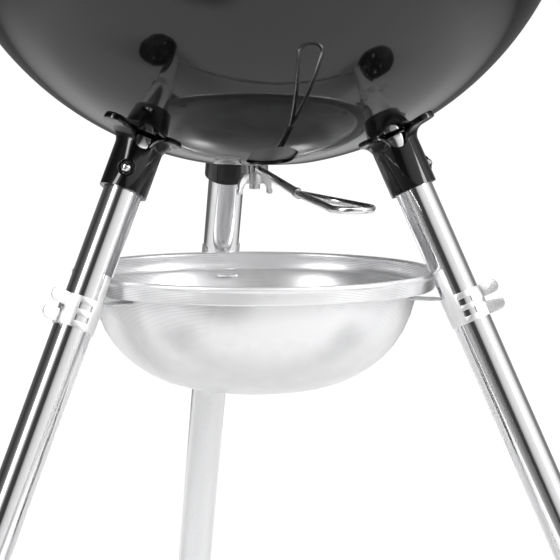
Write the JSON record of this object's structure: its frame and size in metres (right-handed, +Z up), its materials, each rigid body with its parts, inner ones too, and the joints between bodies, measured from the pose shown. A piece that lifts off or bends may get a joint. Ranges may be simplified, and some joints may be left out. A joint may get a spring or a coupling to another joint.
{
  "type": "kettle charcoal grill",
  "caption": "Round kettle charcoal grill on splayed tube legs, with a hanging ash pan, swept bottom vents with a lever, domed lid, grates and wheels.",
  "frame": {"origin": "on the floor, at the middle of the footprint; the kettle's upright axis stands a little in front of it", "axes": "+Z up, +Y towards the single rear leg, +X to the right wheel when seen from the front"},
  "size_m": [0.62, 0.572, 0.8196],
  "materials": {
    "black_enamel": "glossy baked enamel, mirror-like",
    "socket_enamel": "glossy baked enamel on steel",
    "bright_tube": "polished plated steel tube",
    "satin_aluminium": "satin spun aluminium",
    "clip_steel": "pale satin spring steel",
    "bright_wire": "bright plated rod",
    "button_steel": "bright plated",
    "zinc_steel": "bright zinc plate",
    "dark_steel": "dark satin steel",
    "damper_aluminium": "satin aluminium sheet",
    "black_plastic": "fine grained glass-filled nylon",
    "wheel_plastic": "moulded black plastic",
    "hub_cap_plastic": "bright silver cap"
  },
  "bodies": {
    "kettle": {"bowl": "black_enamel", "leg_socket_rear": "socket_enamel", "leg_socket_left": "socket_enamel", "leg_socket_right": "socket_enamel", "leg_rear": "bright_tube", "leg_left": "bright_tube", "leg_right": "bright_tube", "button_spring_rear": "dark_steel", "button_spring_left": "dark_steel", "button_spring_right": "dark_steel", "pan_clip_rear": "clip_steel", "pan_clip_left": "clip_steel", "pan_clip_right": "clip_steel", "foot_cap": "black_plastic", "leg_plug_left": "black_plastic", "leg_plug_right": "black_plastic", "axle": "zinc_steel", "bowl_handle_left": "black_enamel", "bowl_handle_right": "black_enamel", "bowl_handle_grip_left": "black_plastic", "bowl_handle_grip_right": "black_plastic", "grate_brackets": "black_enamel"},
    "lid": {"lid": "black_enamel", "lid_damper_rivet": "damper_aluminium", "lid_handle_grip": "black_plastic", "lid_handle_posts": "zinc_steel", "lid_heat_shield": "damper_aluminium", "lid_handle_nuts": "zinc_steel"},
    "damper": {"lid_damper": "damper_aluminium"},
    "vent_control": {"vent_blades": "dark_steel", "vent_shaft": "zinc_steel", "pivot_washer": "zinc_steel", "vent_lever": "bright_wire", "wing_nut": "zinc_steel"},
    "ash_pan": {"ash_pan": "satin_aluminium"},
    "cooking_grate": {"cooking_grate": "bright_wire"},
    "charcoal_grate": {"charcoal_grate": "dark_steel"},
    "button_rear": {"snap_button_rear": "button_steel"},
    "button_left": {"snap_button_left": "button_steel"},
    "button_right": {"snap_button_right": "button_steel"},
    "wheel_left": {"wheel_left": "wheel_plastic", "tyre_left": "wheel_plastic", "hub_cap_left": "hub_cap_plastic"},
    "wheel_right": {"wheel_right": "wheel_plastic", "tyre_right": "wheel_plastic", "hub_cap_right": "hub_cap_plastic"}
  },
  "joints": [
    {"name": "lid_lift", "type": "slide", "parent": "kettle", "child": "lid", "axis": [0, 0, 1], "range_m": [0, 0.3]},
    {"name": "damper_turn", "type": "hinge", "parent": "lid", "child": "damper", "pos_m": [0, 0.05216, 0.74013], "axis": [0, 0.3738, 0.9275], "range_deg": [-45, 45]},
    {"name": "vent_sweep", "type": "hinge", "parent": "kettle", "child": "vent_control", "pos_m": [0, -0.04284, 0.40902], "axis": [0, 0, 1], "range_deg": [-48, 20]},
    {"name": "pan_drop", "type": "slide", "parent": "kettle", "child": "ash_pan", "axis": [0, 0, 1], "range_m": [-0.06, 0]},
    {"name": "cooking_grate_lift", "type": "slide", "parent": "kettle", "child": "cooking_grate", "axis": [0, 0, 1], "range_m": [0, 0.008]},
    {"name": "charcoal_grate_lift", "type": "slide", "parent": "kettle", "child": "charcoal_grate", "axis": [0, 0, 1], "range_m": [0, 0.06]},
    {"name": "wheel_left_spin", "type": "hinge", "parent": "kettle", "child": "wheel_left", "pos_m": [-0.29, -0.17914, 0.075], "axis": [1, 0, 0], "continuous": true},
    {"name": "wheel_right_spin", "type": "hinge", "parent": "kettle", "child": "wheel_right", "pos_m": [0.29, -0.17914, 0.075], "axis": [1, 0, 0], "continuous": true},
    {"name": "button_rear_press", "type": "slide", "parent": "kettle", "child": "button_rear", "axis": [0.6691, -0.6724, -0.3164], "range_m": [0, 0.004], "stiffness_N_per_m": 800, "springref_m": -0.004},
    {"name": "button_left_press", "type": "slide", "parent": "kettle", "child": "button_left", "axis": [0.2478, 0.9157, -0.3164], "range_m": [0, 0.004], "stiffness_N_per_m": 800, "springref_m": -0.004},
    {"name": "button_right_press", "type": "slide", "parent": "kettle", "child": "button_right", "axis": [-0.9169, -0.2433, -0.3164], "range_m": [0, 0.004], "stiffness_N_per_m": 800, "springref_m": -0.004}
  ]
}
